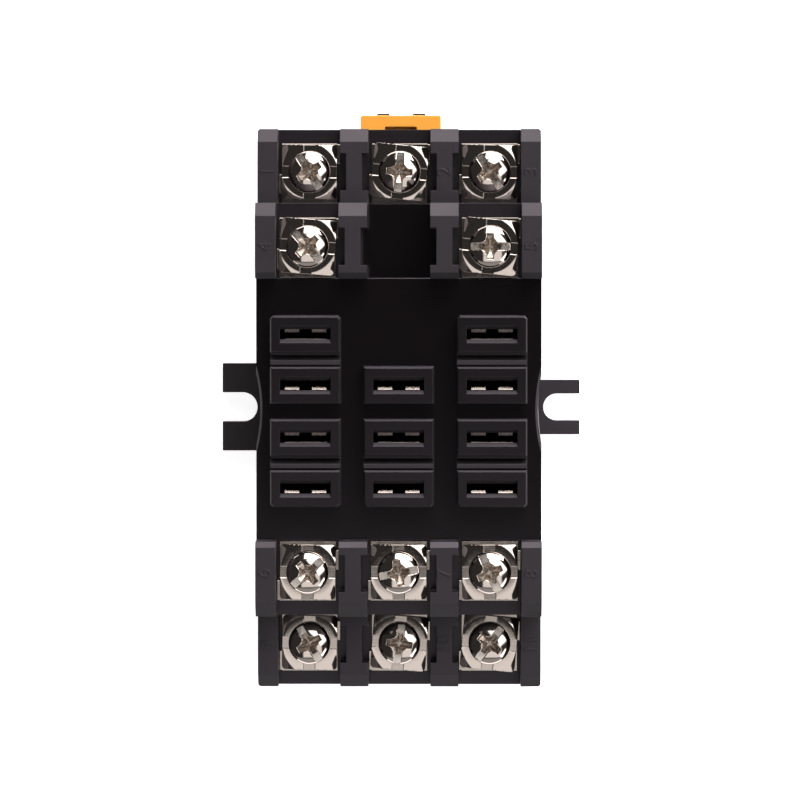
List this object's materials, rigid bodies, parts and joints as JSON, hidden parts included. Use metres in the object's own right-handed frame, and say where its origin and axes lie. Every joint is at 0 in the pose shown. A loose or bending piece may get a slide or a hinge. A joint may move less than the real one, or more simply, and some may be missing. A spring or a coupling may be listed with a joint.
{
  "type": "relay socket",
  "caption": "Screw-terminal socket for a plug-in power relay, with raised blade slots between stepped terminal decks, a sprung rail clip and slotted ears.",
  "frame": {"origin": "on the back plane, under the middle of the overall outline", "axes": "+Z out of the panel towards the relay, +Y towards the rail clip's tab, X from ear to ear"},
  "size_m": [0.0478, 0.0754, 0.0295],
  "materials": {
    "housing_plastic": "black moulded thermoset, fine satin texture",
    "base_plastic": "black moulded thermoset, fine satin texture",
    "clip_plastic": "orange moulded acetal, satin",
    "terminal_brass": "nickel-plated stamped brass",
    "spring_bronze": "nickel-plated spring bronze",
    "washer_steel": "bright nickel-plated pressed steel",
    "screw_steel": "bright nickel-plated steel"
  },
  "bodies": {
    "socket": {"housing": "housing_plastic", "base": "base_plastic", "terminal_plate_1": "terminal_brass", "terminal_plate_2": "terminal_brass", "terminal_plate_3": "terminal_brass", "terminal_plate_4": "terminal_brass", "terminal_plate_5": "terminal_brass", "terminal_plate_6": "terminal_brass", "terminal_plate_7": "terminal_brass", "terminal_plate_8": "terminal_brass", "terminal_plate_9": "terminal_brass", "terminal_plate_10": "terminal_brass", "terminal_plate_11": "terminal_brass", "blade_clip_1": "spring_bronze", "blade_clip_2": "spring_bronze", "blade_clip_3": "spring_bronze", "blade_clip_4": "spring_bronze", "blade_clip_5": "spring_bronze", "blade_clip_6": "spring_bronze", "blade_clip_7": "spring_bronze", "blade_clip_8": "spring_bronze", "blade_clip_9": "spring_bronze", "blade_clip_10": "spring_bronze", "blade_clip_11": "spring_bronze"},
    "rail_clip": {"din_clip": "clip_plastic"},
    "washer_1": {"clamp_washer_1": "washer_steel"},
    "screw_1": {"terminal_screw_1": "screw_steel"},
    "washer_2": {"clamp_washer_2": "washer_steel"},
    "screw_2": {"terminal_screw_2": "screw_steel"},
    "washer_3": {"clamp_washer_3": "washer_steel"},
    "screw_3": {"terminal_screw_3": "screw_steel"},
    "washer_4": {"clamp_washer_4": "washer_steel"},
    "screw_4": {"terminal_screw_4": "screw_steel"},
    "washer_5": {"clamp_washer_5": "washer_steel"},
    "screw_5": {"terminal_screw_5": "screw_steel"},
    "washer_6": {"clamp_washer_6": "washer_steel"},
    "screw_6": {"terminal_screw_6": "screw_steel"},
    "washer_7": {"clamp_washer_7": "washer_steel"},
    "screw_7": {"terminal_screw_7": "screw_steel"},
    "washer_8": {"clamp_washer_8": "washer_steel"},
    "screw_8": {"terminal_screw_8": "screw_steel"},
    "washer_9": {"clamp_washer_9": "washer_steel"},
    "screw_9": {"terminal_screw_9": "screw_steel"},
    "washer_10": {"clamp_washer_10": "washer_steel"},
    "screw_10": {"terminal_screw_10": "screw_steel"},
    "washer_11": {"clamp_washer_11": "washer_steel"},
    "screw_11": {"terminal_screw_11": "screw_steel"}
  },
  "joints": [
    {"name": "clip_slide", "type": "slide", "parent": "socket", "child": "rail_clip", "axis": [0, 1, 0], "range_m": [0, 0.003], "stiffness_N_per_m": 2000, "springref_m": -0.001},
    {"name": "lift_1", "type": "slide", "parent": "socket", "child": "washer_1", "axis": [0, 0, 1], "range_m": [0, 0.0025]},
    {"name": "turn_1", "type": "hinge", "parent": "washer_1", "child": "screw_1", "pos_m": [-0.01175, 0.0294, 0.0192], "axis": [0, 0, 1], "range_deg": [0, 1800]},
    {"name": "lift_2", "type": "slide", "parent": "socket", "child": "washer_2", "axis": [0, 0, 1], "range_m": [0, 0.0025]},
    {"name": "turn_2", "type": "hinge", "parent": "washer_2", "child": "screw_2", "pos_m": [0, 0.0294, 0.0192], "axis": [0, 0, 1], "range_deg": [0, 1800]},
    {"name": "lift_3", "type": "slide", "parent": "socket", "child": "washer_3", "axis": [0, 0, 1], "range_m": [0, 0.0025]},
    {"name": "turn_3", "type": "hinge", "parent": "washer_3", "child": "screw_3", "pos_m": [0.01175, 0.0294, 0.0192], "axis": [0, 0, 1], "range_deg": [0, 1800]},
    {"name": "lift_4", "type": "slide", "parent": "socket", "child": "washer_4", "axis": [0, 0, 1], "range_m": [0, 0.0025]},
    {"name": "turn_4", "type": "hinge", "parent": "washer_4", "child": "screw_4", "pos_m": [-0.01175, 0.01965, 0.0267], "axis": [0, 0, 1], "range_deg": [0, 1800]},
    {"name": "lift_5", "type": "slide", "parent": "socket", "child": "washer_5", "axis": [0, 0, 1], "range_m": [0, 0.0025]},
    {"name": "turn_5", "type": "hinge", "parent": "washer_5", "child": "screw_5", "pos_m": [0.01175, 0.01965, 0.0267], "axis": [0, 0, 1], "range_deg": [0, 1800]},
    {"name": "lift_6", "type": "slide", "parent": "socket", "child": "washer_6", "axis": [0, 0, 1], "range_m": [0, 0.0025]},
    {"name": "turn_6", "type": "hinge", "parent": "washer_6", "child": "screw_6", "pos_m": [-0.01175, -0.02235, 0.0267], "axis": [0, 0, 1], "range_deg": [0, 1800]},
    {"name": "lift_7", "type": "slide", "parent": "socket", "child": "washer_7", "axis": [0, 0, 1], "range_m": [0, 0.0025]},
    {"name": "turn_7", "type": "hinge", "parent": "washer_7", "child": "screw_7", "pos_m": [0, -0.02235, 0.0267], "axis": [0, 0, 1], "range_deg": [0, 1800]},
    {"name": "lift_8", "type": "slide", "parent": "socket", "child": "washer_8", "axis": [0, 0, 1], "range_m": [0, 0.0025]},
    {"name": "turn_8", "type": "hinge", "parent": "washer_8", "child": "screw_8", "pos_m": [0.01175, -0.02235, 0.0267], "axis": [0, 0, 1], "range_deg": [0, 1800]},
    {"name": "lift_9", "type": "slide", "parent": "socket", "child": "washer_9", "axis": [0, 0, 1], "range_m": [0, 0.0025]},
    {"name": "turn_9", "type": "hinge", "parent": "washer_9", "child": "screw_9", "pos_m": [-0.01175, -0.0321, 0.0192], "axis": [0, 0, 1], "range_deg": [0, 1800]},
    {"name": "lift_10", "type": "slide", "parent": "socket", "child": "washer_10", "axis": [0, 0, 1], "range_m": [0, 0.0025]},
    {"name": "turn_10", "type": "hinge", "parent": "washer_10", "child": "screw_10", "pos_m": [0, -0.0321, 0.0192], "axis": [0, 0, 1], "range_deg": [0, 1800]},
    {"name": "lift_11", "type": "slide", "parent": "socket", "child": "washer_11", "axis": [0, 0, 1], "range_m": [0, 0.0025]},
    {"name": "turn_11", "type": "hinge", "parent": "washer_11", "child": "screw_11", "pos_m": [0.01175, -0.0321, 0.0192], "axis": [0, 0, 1], "range_deg": [0, 1800]}
  ],
  "couplings": [
    {"joint": "turn_1", "follows": "lift_1", "rad_per_m": 12566},
    {"joint": "turn_2", "follows": "lift_2", "rad_per_m": 12566},
    {"joint": "turn_3", "follows": "lift_3", "rad_per_m": 12566},
    {"joint": "turn_4", "follows": "lift_4", "rad_per_m": 12566},
    {"joint": "turn_5", "follows": "lift_5", "rad_per_m": 12566},
    {"joint": "turn_6", "follows": "lift_6", "rad_per_m": 12566},
    {"joint": "turn_7", "follows": "lift_7", "rad_per_m": 12566},
    {"joint": "turn_8", "follows": "lift_8", "rad_per_m": 12566},
    {"joint": "turn_9", "follows": "lift_9", "rad_per_m": 12566},
    {"joint": "turn_10", "follows": "lift_10", "rad_per_m": 12566},
    {"joint": "turn_11", "follows": "lift_11", "rad_per_m": 12566}
  ]
}
